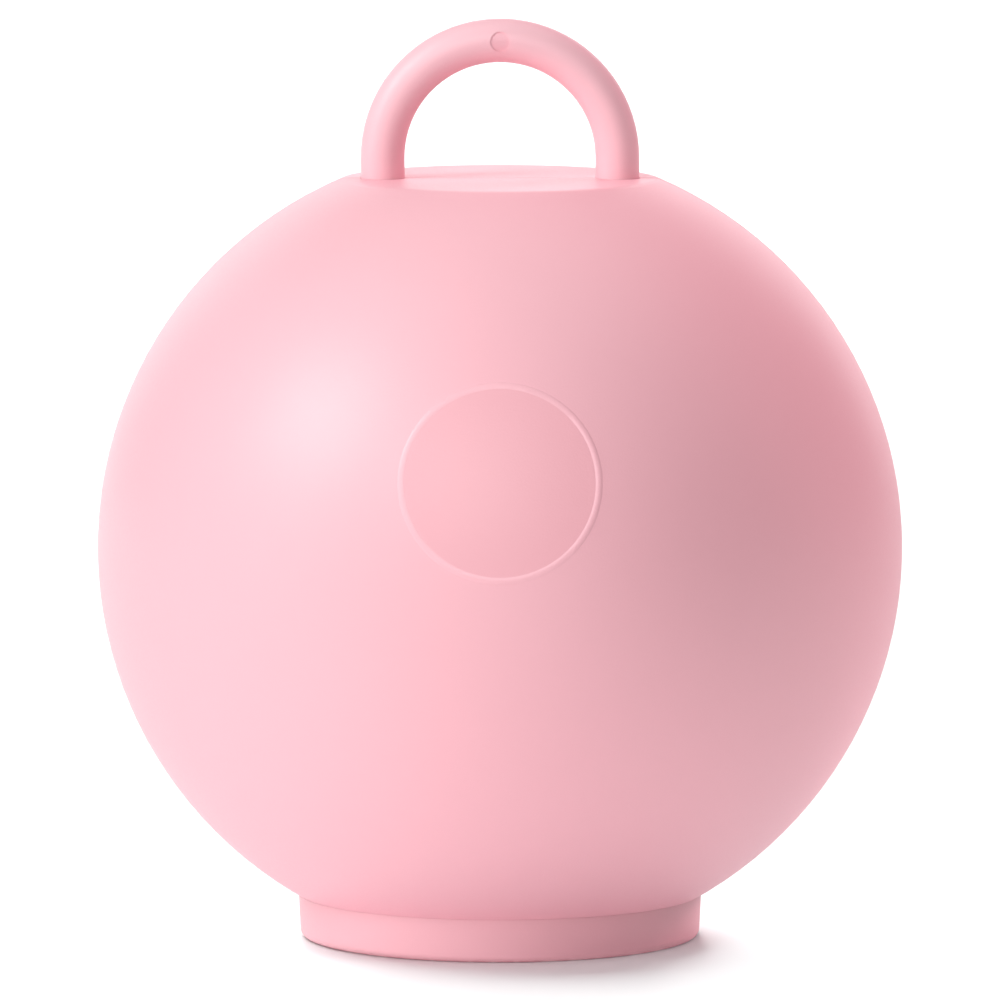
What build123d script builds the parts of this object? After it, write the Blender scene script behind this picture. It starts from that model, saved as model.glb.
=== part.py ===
from build123d import *
import os
from math import cos, radians, sin, sqrt

# A balloon weight: a hollow ball in two half shells, a rod handle trapped between them, dry sand
# inside, and a base cap that plugs the filling mouth. Millimetres, +Z up. The origin is the middle
# of the face that it stands on, and all heights are measured from there. The front is towards -Y.

# Ball, with a flat on top that reaches a margin past the legs of the handle
ball_diameter = 55.0
shell_wall = 1.6
flat_margin = 1.2
flat_edge_radius = 1.5

# Seam between the half shells, on the plane of the handle
seam_line_width = 0.2
seam_line_depth = 0.12
tongue_thickness = 0.6
tongue_depth = 0.9
tongue_end_gap = 3.0
seam_clearance = 0.1

# Round mark on the front: a low bead round a bare field that is a little flatter than the ball
mark_diameter = 13.65
mark_tilt_degrees = 15.7
bead_width = 0.46
bead_height = 0.045
field_depth = 0.2

# Filling mouth in the underside, with a level seat round it and a collar inside
seat_width = 0.6
collar_wall = 1.5

# Handle
rod_diameter = 3.0
leg_spacing = 16.0
leg_rise = 1.4
flange_diameter = 5.0
flange_thickness = 1.2

# Round dimple where the plastic entered the mould, on the crown of the handle and under the base cap
gate_mark_diameter = 1.35
gate_mark_depth = 0.07

# Handle sockets under the flat
socket_wall = 1.2
socket_clearance = 0.05

# Base cap: the foot, whose lip lies between the crease under the ball and the plug in the mouth
foot_height = 2.95
foot_top_diameter = 27.6
foot_base_diameter = 27.3
foot_lip = 3.25
foot_edge_radius = 0.5
rim_width = 2.0
recess_depth = 0.6
cap_floor = 1.4
plug_height = 6.0
plug_wall = 1.3
plug_lead = 0.5
plug_clearance = 0.08
dish_relief = 0.05

# Sand
sand_depth = 24.0
sand_clearance = 0.15

# How far a cut runs past the face that it opens
overrun = 1.0


def half_chord(radius, distance):
    # Half the length of a circle's chord that lies this far from the middle of the circle.
    return sqrt(radius**2 - distance**2)


ball_radius = ball_diameter / 2
rod_radius = rod_diameter / 2
gate_mark_radius = gate_mark_diameter / 2
foot_top_radius = foot_top_diameter / 2
foot_base_radius = foot_base_diameter / 2
mouth_radius = foot_top_radius - foot_lip
collar_radius = mouth_radius + collar_wall
plug_radius = mouth_radius - plug_clearance
plug_bore_radius = plug_radius - plug_wall
flat_radius = leg_spacing / 2 + rod_radius + flat_margin
seat_radius = mouth_radius + seat_width

ball_centre_height = foot_height + half_chord(ball_radius, foot_top_radius)
seat_height = ball_centre_height - half_chord(ball_radius, seat_radius)
flat_height = ball_centre_height + half_chord(ball_radius, flat_radius)
ceiling_height = flat_height - shell_wall
collar_top = seat_height + plug_height
floor_top = recess_depth + cap_floor
leg_places = (-leg_spacing / 2, leg_spacing / 2)


def band(left, right, low, high):
    # Upright rectangle of a section, between two radii and two heights.
    corner = Pos(left, low)
    return corner * Rectangle(right - left, high - low, align=(Align.MIN, Align.MIN))


def ball_section(inset, low, high):
    # Right half of the ball's section, inset from the outside and cut level at two heights.
    disc = Pos(0, ball_centre_height) * Circle(ball_radius - inset)
    return disc & band(0, ball_radius, low, high)


def outer_section(inset):
    # The ball's section with its flat top and the rounded edge of the flat.
    section = ball_section(inset, seat_height, flat_height - inset)
    edge_of_flat = section.vertices().group_by(Axis.Y)[-1].sort_by(Axis.X)[-1]
    return fillet(edge_of_flat, flat_edge_radius - inset)


def both_sides(section):
    return Plane.XZ * (section + mirror(section, Plane.YZ))


def wall_section():
    outside = outer_section(0)
    hollow = ball_section(shell_wall, 0, ceiling_height)
    collar = band(mouth_radius, collar_radius, seat_height, collar_top)
    mouth = band(0, mouth_radius, 0, collar_top)
    return outside - hollow + (collar & outside) - mouth


def seam_line():
    # A fine shadow line round the outside, half of it in each shell.
    line = outer_section(0) - outer_section(seam_line_depth)
    return extrude(both_sides(line), seam_line_width / 2, both=True)


def tongue(clearance):
    # Strip along the middle of the wall that keeps the two shells in line.
    inset = (shell_wall - tongue_thickness) / 2 - clearance
    low = collar_top + tongue_end_gap - clearance
    high = ceiling_height - tongue_end_gap + clearance
    outside = ball_section(inset, low, high)
    inside = ball_section(shell_wall - inset, low, high)
    return extrude(both_sides(outside - inside), tongue_depth + clearance, both=True)


def sockets():
    # Bosses under the flat, one round each leg of the handle, with a floor under the flange.
    radius = flange_diameter / 2 + socket_clearance + socket_wall
    depth = flange_thickness + 2 * socket_clearance + socket_wall
    boss = extrude(Circle(radius), -depth)
    return [Pos(x, 0, ceiling_height) * boss for x in leg_places]


def socket_bores():
    # The stepped hole that a leg and its flange lie in.
    pocket_depth = flange_thickness + 2 * socket_clearance
    pocket = extrude(Circle(flange_diameter / 2 + socket_clearance), -pocket_depth)
    leg_hole = extrude(Circle(rod_radius + socket_clearance), shell_wall + overrun)
    return [Pos(x, 0, ceiling_height) * (pocket + leg_hole) for x in leg_places]


def half_shell(side):
    # One half of the ball, with its halves of the sockets; side keeps one side of the seam plane.
    ball = revolve(Plane.XZ * wall_section(), Axis.Z)
    shell = ball + sockets() - socket_bores() - seam_line()
    return split(shell, Plane.XZ, keep=side)


# The mark's axis leaves the centre of the ball forwards and a little upwards.
mark_tilt = radians(mark_tilt_degrees)
mark_frame = Plane((0, 0, ball_centre_height), z_dir=(0, -cos(mark_tilt), sin(mark_tilt)))


def add_mark(shell):
    # The field is cut with a larger ball, and the bead is a revolve about the mark's axis.
    bead_outside = mark_diameter / 2
    field_radius = bead_outside - bead_width
    bead_middle = (bead_outside + field_radius) / 2
    rim = half_chord(ball_radius, field_radius)
    root = rim - shell_wall / 2
    crown = ball_radius - field_depth
    field_curve = (field_radius**2 + (crown - rim) ** 2) / (2 * (crown - rim))
    above = Pos(0, 0, root) * extrude(Circle(field_radius), ball_radius + overrun - root)
    field = above - Pos(0, 0, crown - field_curve) * Rot(90, 0, 0) * Sphere(field_curve)
    bead_feet = (field_radius, rim), (bead_outside, half_chord(ball_radius, bead_outside))
    bead_crest = (bead_middle, half_chord(ball_radius + bead_height, bead_middle))
    bead_top = ThreePointArc(bead_feet[0], bead_crest, bead_feet[1])
    bead_root = Polyline(bead_feet[1], (bead_outside, root), (field_radius, root), bead_feet[0])
    bead = revolve(Plane.XZ * make_face(bead_top + bead_root), Axis.Z)
    return shell - mark_frame * field + mark_frame * bead


def front_shell():
    return add_mark(half_shell(Keep.TOP)) + tongue(0)


def rear_shell():
    return half_shell(Keep.BOTTOM) - tongue(seam_clearance)


def handle():
    reach = leg_spacing / 2
    spring = flat_height + leg_rise
    crown = spring + reach
    foot = ceiling_height - socket_clearance - flange_thickness
    left_leg = Line((-reach, 0, foot), (-reach, 0, spring))
    arch = ThreePointArc((-reach, 0, spring), (0, 0, crown), (reach, 0, spring))
    right_leg = Line((reach, 0, spring), (reach, 0, foot))
    path = left_leg + arch + right_leg
    rod, core = (
        sweep(Plane((-reach, 0, foot)) * Circle(radius), path)
        for radius in (rod_radius, rod_radius - gate_mark_depth)
    )
    gate_mark = Pos(0, 0, crown) * extrude(Plane.XZ * Circle(gate_mark_radius), rod_radius + overrun)
    flange = extrude(Circle(flange_diameter / 2), flange_thickness)
    return rod - (gate_mark - core) + [Pos(x, 0, foot) * flange for x in leg_places]


def base_cap():
    # The underside of the ball lies in a dish: it bears on the brim and the seat, and is clear between.
    brim = (foot_top_radius, foot_height)
    seat_edge = (seat_radius, seat_height)
    middle_radius = (foot_top_radius + seat_radius) / 2
    middle_drop = half_chord(ball_radius + dish_relief, middle_radius)
    dish = ThreePointArc(brim, (middle_radius, ball_centre_height - middle_drop), seat_edge)
    rest = Polyline(
        seat_edge,
        (plug_radius, seat_height),
        (plug_radius, collar_top - plug_lead),
        (plug_radius - plug_lead / 2, collar_top),
        (plug_bore_radius, collar_top),
        (plug_bore_radius, floor_top),
        (0, floor_top),
        (0, recess_depth + gate_mark_depth),
        (gate_mark_radius, recess_depth + gate_mark_depth),
        (gate_mark_radius, recess_depth),
        (foot_base_radius - rim_width, recess_depth),
        (foot_base_radius - rim_width, 0),
        (foot_base_radius, 0),
        brim,
    )
    section = make_face(dish + rest)
    standing_edge = section.vertices().group_by(Axis.Y)[0].sort_by(Axis.X)[-1]
    section = fillet(standing_edge, foot_edge_radius)
    return revolve(Plane.XZ * section, Axis.Z)


def sand_fill():
    # A level bed of sand: round the collar outside, and down inside the plug to the cap's floor.
    bed_base = collar_top + sand_clearance
    bulk = ball_section(shell_wall + sand_clearance, seat_height, floor_top + sand_depth)
    cleared = band(0, collar_radius + sand_clearance, 0, bed_base)
    core = band(0, plug_bore_radius - sand_clearance, floor_top + sand_clearance, bed_base)
    return revolve(Plane.XZ * (bulk - cleared + core), Axis.Z)


nodes = {
    "front_shell": front_shell(),
    "rear_shell": rear_shell(),
    "handle": handle(),
    "base_cap": base_cap(),
    "sand_fill": sand_fill(),
}

os.makedirs("parts", exist_ok=True)
for name, solid in nodes.items():
    export_step(solid, f"parts/{name}.step")
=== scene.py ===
import bpy
import math
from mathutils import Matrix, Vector, noise


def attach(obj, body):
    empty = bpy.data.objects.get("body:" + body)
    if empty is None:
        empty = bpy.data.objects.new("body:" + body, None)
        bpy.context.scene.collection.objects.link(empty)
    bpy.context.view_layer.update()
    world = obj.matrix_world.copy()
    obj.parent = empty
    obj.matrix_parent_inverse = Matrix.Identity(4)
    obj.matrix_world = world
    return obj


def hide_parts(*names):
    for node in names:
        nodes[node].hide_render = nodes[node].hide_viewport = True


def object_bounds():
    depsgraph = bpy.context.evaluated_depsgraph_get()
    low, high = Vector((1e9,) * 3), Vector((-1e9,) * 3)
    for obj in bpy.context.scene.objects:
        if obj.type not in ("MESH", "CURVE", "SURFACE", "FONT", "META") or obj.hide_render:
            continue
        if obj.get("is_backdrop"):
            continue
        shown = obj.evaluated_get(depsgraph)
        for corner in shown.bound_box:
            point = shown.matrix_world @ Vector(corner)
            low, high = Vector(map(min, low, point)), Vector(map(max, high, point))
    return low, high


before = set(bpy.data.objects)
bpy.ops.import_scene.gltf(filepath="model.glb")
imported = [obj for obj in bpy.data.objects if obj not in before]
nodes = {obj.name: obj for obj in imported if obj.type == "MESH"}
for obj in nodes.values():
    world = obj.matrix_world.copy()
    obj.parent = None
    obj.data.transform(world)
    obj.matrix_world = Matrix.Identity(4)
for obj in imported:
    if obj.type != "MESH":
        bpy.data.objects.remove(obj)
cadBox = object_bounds()
ballCentre = Vector((0, 0, 0.026737))
print("frame loaded:", ", ".join(sorted(nodes)))

# camera: a long lens, a little above the middle of the ball
cameraSet = {
    "lookAt": (0.0, 0.0, 0.02997),
    "distance": 0.8996,
    "elevation": 6.395,    # degrees
    "fieldOfView": 4.352,  # degrees, the same both ways
    "clipStart": 0.01,
}


def makeCamera(settings):
    tilt = math.radians(settings["elevation"])
    away = Vector((0, -math.cos(tilt), math.sin(tilt)))
    lens = bpy.data.cameras.new("productCamera")
    lens.sensor_fit = "HORIZONTAL"
    lens.angle = math.radians(settings["fieldOfView"])
    lens.clip_start = settings["clipStart"]
    camera = bpy.data.objects.new("productCamera", lens)
    camera.location = Vector(settings["lookAt"]) + away * settings["distance"]
    camera.rotation_euler = (-away).to_track_quat("-Z", "Y").to_euler()
    bpy.context.scene.collection.objects.link(camera)
    bpy.context.scene.camera = camera


makeCamera(cameraSet)
print("camera set")


# small helpers for shader trees
def newMaterial(name):
    material = bpy.data.materials.new(name)
    material.use_nodes = True
    tree = material.node_tree
    return material, tree, tree.nodes["Principled BSDF"]


def feed(tree, socket, value):
    # link a socket into this one, or set it to a plain value
    if isinstance(value, bpy.types.NodeSocket):
        tree.links.new(value, socket)
    else:
        socket.default_value = value


def addNode(tree, kind, inputs=None, **settings):
    node = tree.nodes.new(kind)
    for key, value in settings.items():
        setattr(node, key, value)
    for key, value in (inputs or {}).items():
        feed(tree, node.inputs[key], value)
    return node


def objectPlace(tree):
    return addNode(tree, "ShaderNodeTexCoord").outputs["Object"]


def noiseOf(tree, place, size, detail=2.0):
    # cloudy pattern with features of about this size in metres
    inputs = {"Vector": place, "Scale": 1 / size, "Detail": detail}
    return addNode(tree, "ShaderNodeTexNoise", inputs).outputs["Fac"]


def smoothStep(tree, value, low, high, start=0.0, end=1.0):
    # from start to end while the value goes from low to high
    inputs = {"Value": value, "From Min": low, "From Max": high, "To Min": start, "To Max": end}
    step = addNode(tree, "ShaderNodeMapRange", inputs, interpolation_type="SMOOTHSTEP")
    return step.outputs["Result"]


def blendColours(tree, factor, first, second):
    mix = addNode(tree, "ShaderNodeMix", {"Factor": factor}, data_type="RGBA")
    for socket, value in ((mix.inputs[6], first), (mix.inputs[7], second)):  # its two colour inputs
        feed(tree, socket, (*value, 1) if isinstance(value, tuple) else value)
    return mix.outputs[2]


def vectorMath(tree, operation, output, *vectors):
    inputs = dict(enumerate(vectors))
    return addNode(tree, "ShaderNodeVectorMath", inputs, operation=operation).outputs[output]


def bumpFrom(tree, height, depth, normal=None):
    inputs = {"Height": height, "Distance": depth, "Strength": 1.0}
    if normal:
        inputs["Normal"] = normal
    return addNode(tree, "ShaderNodeBump", inputs).outputs["Normal"]


# floor: a plain pale sheet
floorSet = {
    "reach": 4.0,                     # metres to each side
    "colour": (0.875, 0.935, 0.92),
    "duller": (0.86, 0.92, 0.905),
    "cloudSize": 0.3,
    "nearFoot": (0.785, 0.96, 0.94),  # painted cooler tint, which cancels the pink light the ball throws on the sheet round the foot
    "nearReach": (0.045, 0.017),      # metres from the middle, where that starts and where it is full
    "roughness": 0.6,
}


def makeFloor(settings):
    reach = settings["reach"]
    corners = [(-reach, -reach, 0), (reach, -reach, 0), (reach, reach, 0), (-reach, reach, 0)]
    mesh = bpy.data.meshes.new("floor")
    mesh.from_pydata(corners, [], [(0, 1, 2, 3)])
    floor = bpy.data.objects.new("floor", mesh)
    bpy.context.scene.collection.objects.link(floor)
    material, tree, shader = newMaterial("paleFloor")
    place = objectPlace(tree)
    clouds = noiseOf(tree, place, settings["cloudSize"])
    tone = blendColours(tree, clouds, settings["colour"], settings["duller"])
    # painted cooler tint round the foot, against the pink light the ball throws there
    near = smoothStep(tree, vectorMath(tree, "LENGTH", "Value", place), *settings["nearReach"])
    tone = blendColours(tree, near, tone, settings["nearFoot"])
    feed(tree, shader.inputs["Base Color"], tone)
    feed(tree, shader.inputs["Roughness"], settings["roughness"])
    mesh.materials.append(material)
    floor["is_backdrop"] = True
    return floor


floor = makeFloor(floorSet)
print("floor laid")


# soft studio light: some lights are for the object, the others only wash the floor behind and round it
worldSet = {"colour": (1.0, 1.0, 1.0), "strength": 0.14}
objectLights = {
    "keyLight": {"place": (-0.59, -0.30, 0.50), "aim": ballCentre, "size": (0.36, 0.36), "watts": 3.5,
                 "colour": (0.78, 1.0, 0.94)},
    "lowLight": {"place": (-0.70, -0.38, 0.10), "aim": ballCentre, "size": (0.4, 0.15), "watts": 2.25,
                 "colour": (0.94, 1.0, 0.96), "gloss": False},
    "frontLight": {"place": (-0.15, -0.85, 0.45), "aim": ballCentre, "size": (0.5, 0.4), "watts": 3.2},
    "topLight": {"place": (0, 0.1, 1.4), "aim": (0, 0.1, 0), "size": (1.6, 1.6), "watts": 6.9},
    "backPanel": {"place": (0, 1.9, 0.62), "aim": (0, 0, 0.3), "size": (2.6, 1.2), "watts": 16.5},
    "rimLight": {"place": (0.60, 0.45, 0.45), "aim": ballCentre, "size": (0.35, 0.1), "watts": 4.0,
                 "colour": (1.0, 0.65, 0.7), "gloss": False},
}
floorLights = {
    "floorTop": {"place": (0, 0.2, 1.5), "aim": (0, 0.1, 0), "size": (2.0, 2.0), "watts": 12.5},
    "floorBack": {"place": (-0.5, 1.3, 0.7), "aim": (0, 0, 0), "size": (1.2, 0.8), "watts": 27.0},
    # a small pool beside the object, which the sheet throws back up at the ball
    "floorRight": {"place": (0.12, -0.02, 0.12), "aim": (0.12, -0.02, 0), "size": (0.06, 0.06),
                   "watts": 0.04, "colour": (1.0, 0.9, 0.92), "gloss": False},
}
# glow from under the sheet, as on a light table, which only the foot stops
tableLights = {
    "tableGlow": {"place": (0.02, -0.05, -0.7), "aim": ballCentre, "size": (0.3, 0.3), "watts": 1.08,
                  "gloss": False},
}


def gather(name, things):
    group = bpy.data.collections.new(name)
    for thing in things:
        group.objects.link(thing)
    return group


def makeLights(lights, litGroup, shadowGroup=None):
    for name, settings in lights.items():
        lamp = bpy.data.lights.new(name, "AREA")
        lamp.shape = "RECTANGLE"
        lamp.size, lamp.size_y = settings["size"]
        lamp.energy = settings["watts"]
        lamp.color = settings.get("colour", (1.0, 1.0, 1.0))
        light = bpy.data.objects.new(name, lamp)
        light.location = settings["place"]
        light.visible_glossy = settings.get("gloss", True)
        towards = Vector(settings["aim"]) - light.location
        light.rotation_euler = towards.to_track_quat("-Z", "Y").to_euler()
        light.light_linking.receiver_collection = litGroup
        light.light_linking.blocker_collection = shadowGroup
        bpy.context.scene.collection.objects.link(light)


def makeWorld(settings):
    scene = bpy.context.scene
    world = bpy.data.worlds.new("studio")
    world.use_nodes = True
    background = world.node_tree.nodes["Background"]
    background.inputs["Color"].default_value = (*settings["colour"], 1)
    background.inputs["Strength"].default_value = settings["strength"]
    scene.world = world
    scene.view_settings.view_transform = "Standard"


makeWorld(worldSet)
litObject = gather("litObject", nodes.values())
makeLights(objectLights, litObject)
# only the foot shades the floor, so the floor stays white round a short contact shadow
footShade = gather("footShade", [nodes["base_cap"]])
makeLights(floorLights, gather("litFloor", [floor]), footShade)
makeLights(tableLights, litObject, footShade)
print("lights set")


# satin pink plastic, as it comes out of the mould
plasticSet = {
    "pink": (0.868, 0.417, 0.48),
    "palerPink": (0.888, 0.434, 0.499),
    "mottleSize": 0.018,
    "mottleDetail": 3.0,
    "grainSize": 0.00016,         # fine texture of the mould
    "grainDepth": 0.000006,
    "grainDetail": 1.0,
    "waveSize": 0.009,            # slow unevenness from cooling
    "waveDepth": 0.00002,
    "waveDetail": 1.0,
    "roughness": (0.40, 0.48),
    "roughnessSpan": (0.3, 0.7),  # values of the grain between which the roughness changes
    "specular": 0.6,
    "sheen": 0.3,                 # a soft bloom where the satin turns away
    "sheenRoughness": 0.4,
    "sheenTint": (0.97, 0.52, 0.61),
}


def startPlastic(name, settings):
    material, tree, shader = newMaterial(name)
    place = objectPlace(tree)
    mottle = noiseOf(tree, place, settings["mottleSize"], settings["mottleDetail"])
    grain = noiseOf(tree, place, settings["grainSize"], settings["grainDetail"])
    wave = noiseOf(tree, place, settings["waveSize"], settings["waveDetail"])
    normal = bumpFrom(tree, wave, settings["waveDepth"])
    shader.inputs["Specular IOR Level"].default_value = settings["specular"]
    shader.inputs["Sheen Weight"].default_value = settings["sheen"]
    shader.inputs["Sheen Roughness"].default_value = settings["sheenRoughness"]
    shader.inputs["Sheen Tint"].default_value = (*settings["sheenTint"], 1)
    return {
        "material": material,
        "tree": tree,
        "shader": shader,
        "place": place,
        "tone": blendColours(tree, mottle, settings["pink"], settings["palerPink"]),
        "rough": smoothStep(tree, grain, *settings["roughnessSpan"], *settings["roughness"]),
        "normal": bumpFrom(tree, grain, settings["grainDepth"], normal),
    }


def finishPlastic(coat, node):
    links, shader = coat["tree"].links, coat["shader"]
    links.new(coat["tone"], shader.inputs["Base Color"])
    links.new(coat["rough"], shader.inputs["Roughness"])
    links.new(coat["normal"], shader.inputs["Normal"])
    node.data.materials.clear()
    node.data.materials.append(coat["material"])


def tint(coat, mask, colour):
    coat["tone"] = blendColours(coat["tree"], mask, coat["tone"], colour)


def along(coat, axis):
    # one coordinate of the place, in metres
    return addNode(coat["tree"], "ShaderNodeSeparateXYZ", {0: coat["place"]}).outputs[axis]


# front shell: the mark has a paler bead, and a field that is a little deeper in colour
frontSet = {
    "beadPink": (0.90, 0.442, 0.507),
    "beadSpan": (0.02750, 0.02753),  # metres from the ball's centre, only the bead stands so far out
    "fieldPink": (0.835, 0.378, 0.437),
    "fieldTilt": 15.7,               # degrees up from the front
    "fieldReach": 13.35,             # degrees round the mark's axis
    "fieldBlur": 0.0004,             # softness of its edge, as a cosine
}


def paintFrontShell(settings):
    coat = startPlastic("frontShellPlastic", plasticSet)
    tree = coat["tree"]
    tilt = math.radians(settings["fieldTilt"])
    axis = (0, -math.cos(tilt), math.sin(tilt))
    outward = vectorMath(tree, "SUBTRACT", "Vector", coat["place"], ballCentre)
    direction = vectorMath(tree, "NORMALIZE", "Vector", outward)
    facing = vectorMath(tree, "DOT_PRODUCT", "Value", direction, axis)
    edge, blur = math.cos(math.radians(settings["fieldReach"])), settings["fieldBlur"]
    tint(coat, smoothStep(tree, facing, edge - blur, edge + blur), settings["fieldPink"])
    height = vectorMath(tree, "LENGTH", "Value", outward)
    tint(coat, smoothStep(tree, height, *settings["beadSpan"]), settings["beadPink"])
    finishPlastic(coat, nodes["front_shell"])


paintFrontShell(frontSet)
finishPlastic(startPlastic("rearShellPlastic", plasticSet), nodes["rear_shell"])
print("shells painted")


# handle: a separate moulding whose pink is painted a shade paler, as painted light for the brighter light
# it gets, with a mould line along its middle and painted shade in the gate mark
handleSet = {
    **plasticSet,
    # painted light: a paler pink than the shells', for the brighter light on the handle
    "pink": (0.883, 0.46, 0.522),
    "palerPink": (0.898, 0.476, 0.54),
    "lineSpan": (0.00015, 0.00005),   # metres from the middle, where the line starts and where it is full
    "lineDepth": 0.00003,
    # painted shade: a darker colour for the inside of the gate mark's dimple
    "gateShadePink": (0.848, 0.41, 0.475),
    "gatePlace": (0, -0.0015, 0.06147),
    "gateSpan": (0.000714, 0.00051),  # metres from that place
}


def paintHandle(settings):
    coat = startPlastic("handlePlastic", settings)
    tree = coat["tree"]
    # painted shade: darker colour in the gate mark's dimple
    fromGate = vectorMath(tree, "SUBTRACT", "Vector", coat["place"], settings["gatePlace"])
    gate = smoothStep(tree, vectorMath(tree, "LENGTH", "Value", fromGate), *settings["gateSpan"])
    tint(coat, gate, settings["gateShadePink"])
    inputs = {0: along(coat, "Y")}
    fromMiddle = addNode(tree, "ShaderNodeMath", inputs, operation="ABSOLUTE").outputs[0]
    line = smoothStep(tree, fromMiddle, *settings["lineSpan"])
    coat["normal"] = bumpFrom(tree, line, settings["lineDepth"], coat["normal"])
    finishPlastic(coat, nodes["handle"])


paintHandle(handleSet)
print("handle painted")


# base cap: its pink painted a shade deeper, as painted shade on the foot, and scuffed where its rim
# stands on tables
capSet = {
    **plasticSet,
    # painted shade: a deeper pink than the shells', which darkens the foot
    "pink": (0.80, 0.388, 0.444),
    "palerPink": (0.82, 0.404, 0.461),
    "scuffPink": (0.93, 0.55, 0.59),
    "scuffHeight": 0.00025,
    "scuffSize": 0.0012,
    "scuffDetail": 4.0,
    "scuffSpan": (0.45, 0.65),  # how much of the noise shows as scuffs
}


def paintCap(settings):
    coat = startPlastic("capPlastic", settings)
    tree = coat["tree"]
    patches = noiseOf(tree, coat["place"], settings["scuffSize"], settings["scuffDetail"])
    patches = smoothStep(tree, patches, *settings["scuffSpan"])
    low = smoothStep(tree, along(coat, "Z"), settings["scuffHeight"], 0.0)
    scuffs = addNode(tree, "ShaderNodeMath", {0: patches, 1: low}, operation="MULTIPLY").outputs[0]
    tint(coat, scuffs, settings["scuffPink"])
    finishPlastic(coat, nodes["base_cap"])


paintCap(capSet)
print("base cap painted")


# sand: loose and dry, with a shaken top that is a little uneven
sandSet = {
    "turns": 144,                # points round the ball
    "topSteps": 28,              # points along each stretch of the outline
    "ballSteps": 40,
    "collarSteps": 5,
    "plugSteps": 8,
    "floorSteps": 12,
    "ballReach": 0.02570,        # outside of the sand, from the ball's centre
    "topHeight": 0.02595,
    "collarReach": 0.01225,
    "collarHeight": 0.00780,
    "plugReach": 0.00897,
    "plugFloor": 0.00220,
    "heap": 0.0012,              # depth of the slow dips in the top
    "heapSize": 0.011,
    "heapNoise": (1.0, 2.0, 3),  # fall of the finer dips, their ratio in size, and how many sizes
    "grainRise": 0.00025,        # how far single grains stand back from the walls
    "grainSpacing": 3,           # in rises
    "grainSize": 0.00055,
    "grainSwell": 0.4,           # height of a grain's crown, as a share of its size
    "grainEdge": 0.8,            # where the crown ends, as a share of its size
    "tan": (0.50, 0.36, 0.21),
    "pale": (0.78, 0.68, 0.50),
    "paleSpan": (0.55, 0.9),     # each grain draws a number, and these turn it pale
    "dark": (0.17, 0.11, 0.07),
    "darkSpan": (0.86, 0.94),
    "roughness": (0.75, 0.95),
}


def sandOutline(settings):
    # points (radius, height) from the middle of the top to the middle of the floor,
    # each with the direction into the sand
    reach, middle = settings["ballReach"], ballCentre.z
    collar, plug = settings["collarReach"], settings["plugReach"]
    top, ledge, low = settings["topHeight"], settings["collarHeight"], settings["plugFloor"]
    start = math.asin((top - middle) / reach)
    end = -math.acos(collar / reach)
    steps = settings["topSteps"]
    points = [(reach * math.cos(start) * i / steps, top, 0, -1) for i in range(steps)]
    steps = settings["ballSteps"]
    for i in range(steps + 1):
        turn = start + (end - start) * i / steps
        across, up = math.cos(turn), math.sin(turn)
        points.append((reach * across, middle + reach * up, -across, -up))
    ballFoot = middle + reach * math.sin(end)
    steps = settings["collarSteps"]
    points += [(collar, ballFoot + (ledge - ballFoot) * i / steps, 1, 0) for i in range(1, steps)]
    points += [(collar + (plug - collar) * i / steps, ledge, 0, 1) for i in range(steps + 1)]
    steps = settings["plugSteps"]
    points += [(plug, ledge - (ledge - low) * i / steps, -1, 0) for i in range(1, steps)]
    steps = settings["floorSteps"]
    points += [(plug * (1 - i / steps), low, 0, 1) for i in range(steps + 1)]
    return points


def fromZero(value):
    # noise runs from -1 to 1, this from 0 to 1
    return 0.5 + 0.5 * value


def sandMesh(settings):
    turns, vertices, faces, lastRing = settings["turns"], [], [], None
    rise = settings["grainRise"]
    for radius, height, inAcross, inUp in sandOutline(settings):
        ring = []
        for i in range(turns if radius > 0 else 1):  # one point on the axis
            angle = 2 * math.pi * i / turns
            across = Vector((math.cos(angle), math.sin(angle), 0))
            point = across * radius + Vector((0, 0, height))
            grains = fromZero(noise.noise(point / rise / settings["grainSpacing"]))
            point += (across * inAcross + Vector((0, 0, inUp))) * rise * grains
            if inUp == -1:  # only the top has dips
                dips = fromZero(noise.fractal(point / settings["heapSize"], *settings["heapNoise"]))
                point.z -= settings["heap"] * max(0.0, dips)
            ring.append(len(vertices))
            vertices.append(point)
        if lastRing:
            for i in range(turns):
                corners = [lastRing[i % len(lastRing)], lastRing[(i + 1) % len(lastRing)]]
                corners += [ring[(i + 1) % len(ring)], ring[i % len(ring)]]
                faces.append(list(dict.fromkeys(corners))[::-1])
        lastRing = ring
    mesh = bpy.data.meshes.new("sand")
    mesh.from_pydata(vertices, [], faces)
    mesh.shade_smooth()
    return mesh


def looseSand(settings):
    material, tree, shader = newMaterial("looseSand")
    size = settings["grainSize"]
    inputs = {"Vector": objectPlace(tree), "Scale": 1 / size}
    grains = addNode(tree, "ShaderNodeTexVoronoi", inputs)
    # each grain has a colour of its own: mostly tan, some pale, a few dark
    lot = addNode(tree, "ShaderNodeSeparateColor", {0: grains.outputs["Color"]}).outputs
    pale = smoothStep(tree, lot[0], *settings["paleSpan"])
    dark = smoothStep(tree, lot[1], *settings["darkSpan"])
    tone = blendColours(tree, pale, settings["tan"], settings["pale"])
    feed(tree, shader.inputs["Base Color"], blendColours(tree, dark, tone, settings["dark"]))
    feed(tree, shader.inputs["Roughness"], smoothStep(tree, lot[2], 0.0, 1.0, *settings["roughness"]))
    swell = smoothStep(tree, grains.outputs["Distance"], settings["grainEdge"], 0.0)
    feed(tree, shader.inputs["Normal"], bumpFrom(tree, swell, size * settings["grainSwell"]))
    return material


def makeSand(settings):
    mesh = sandMesh(settings)
    mesh.materials.append(looseSand(settings))
    sand = bpy.data.objects.new("sand", mesh)
    bpy.context.scene.collection.objects.link(sand)
    litObject.objects.link(sand)
    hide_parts("sand_fill")
    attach(sand, "weight")


makeSand(sandSet)
print("sand poured")

boxes = {"cad": cadBox, "visual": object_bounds()}
boxes = {name: [list(corner) for corner in box] for name, box in boxes.items()}
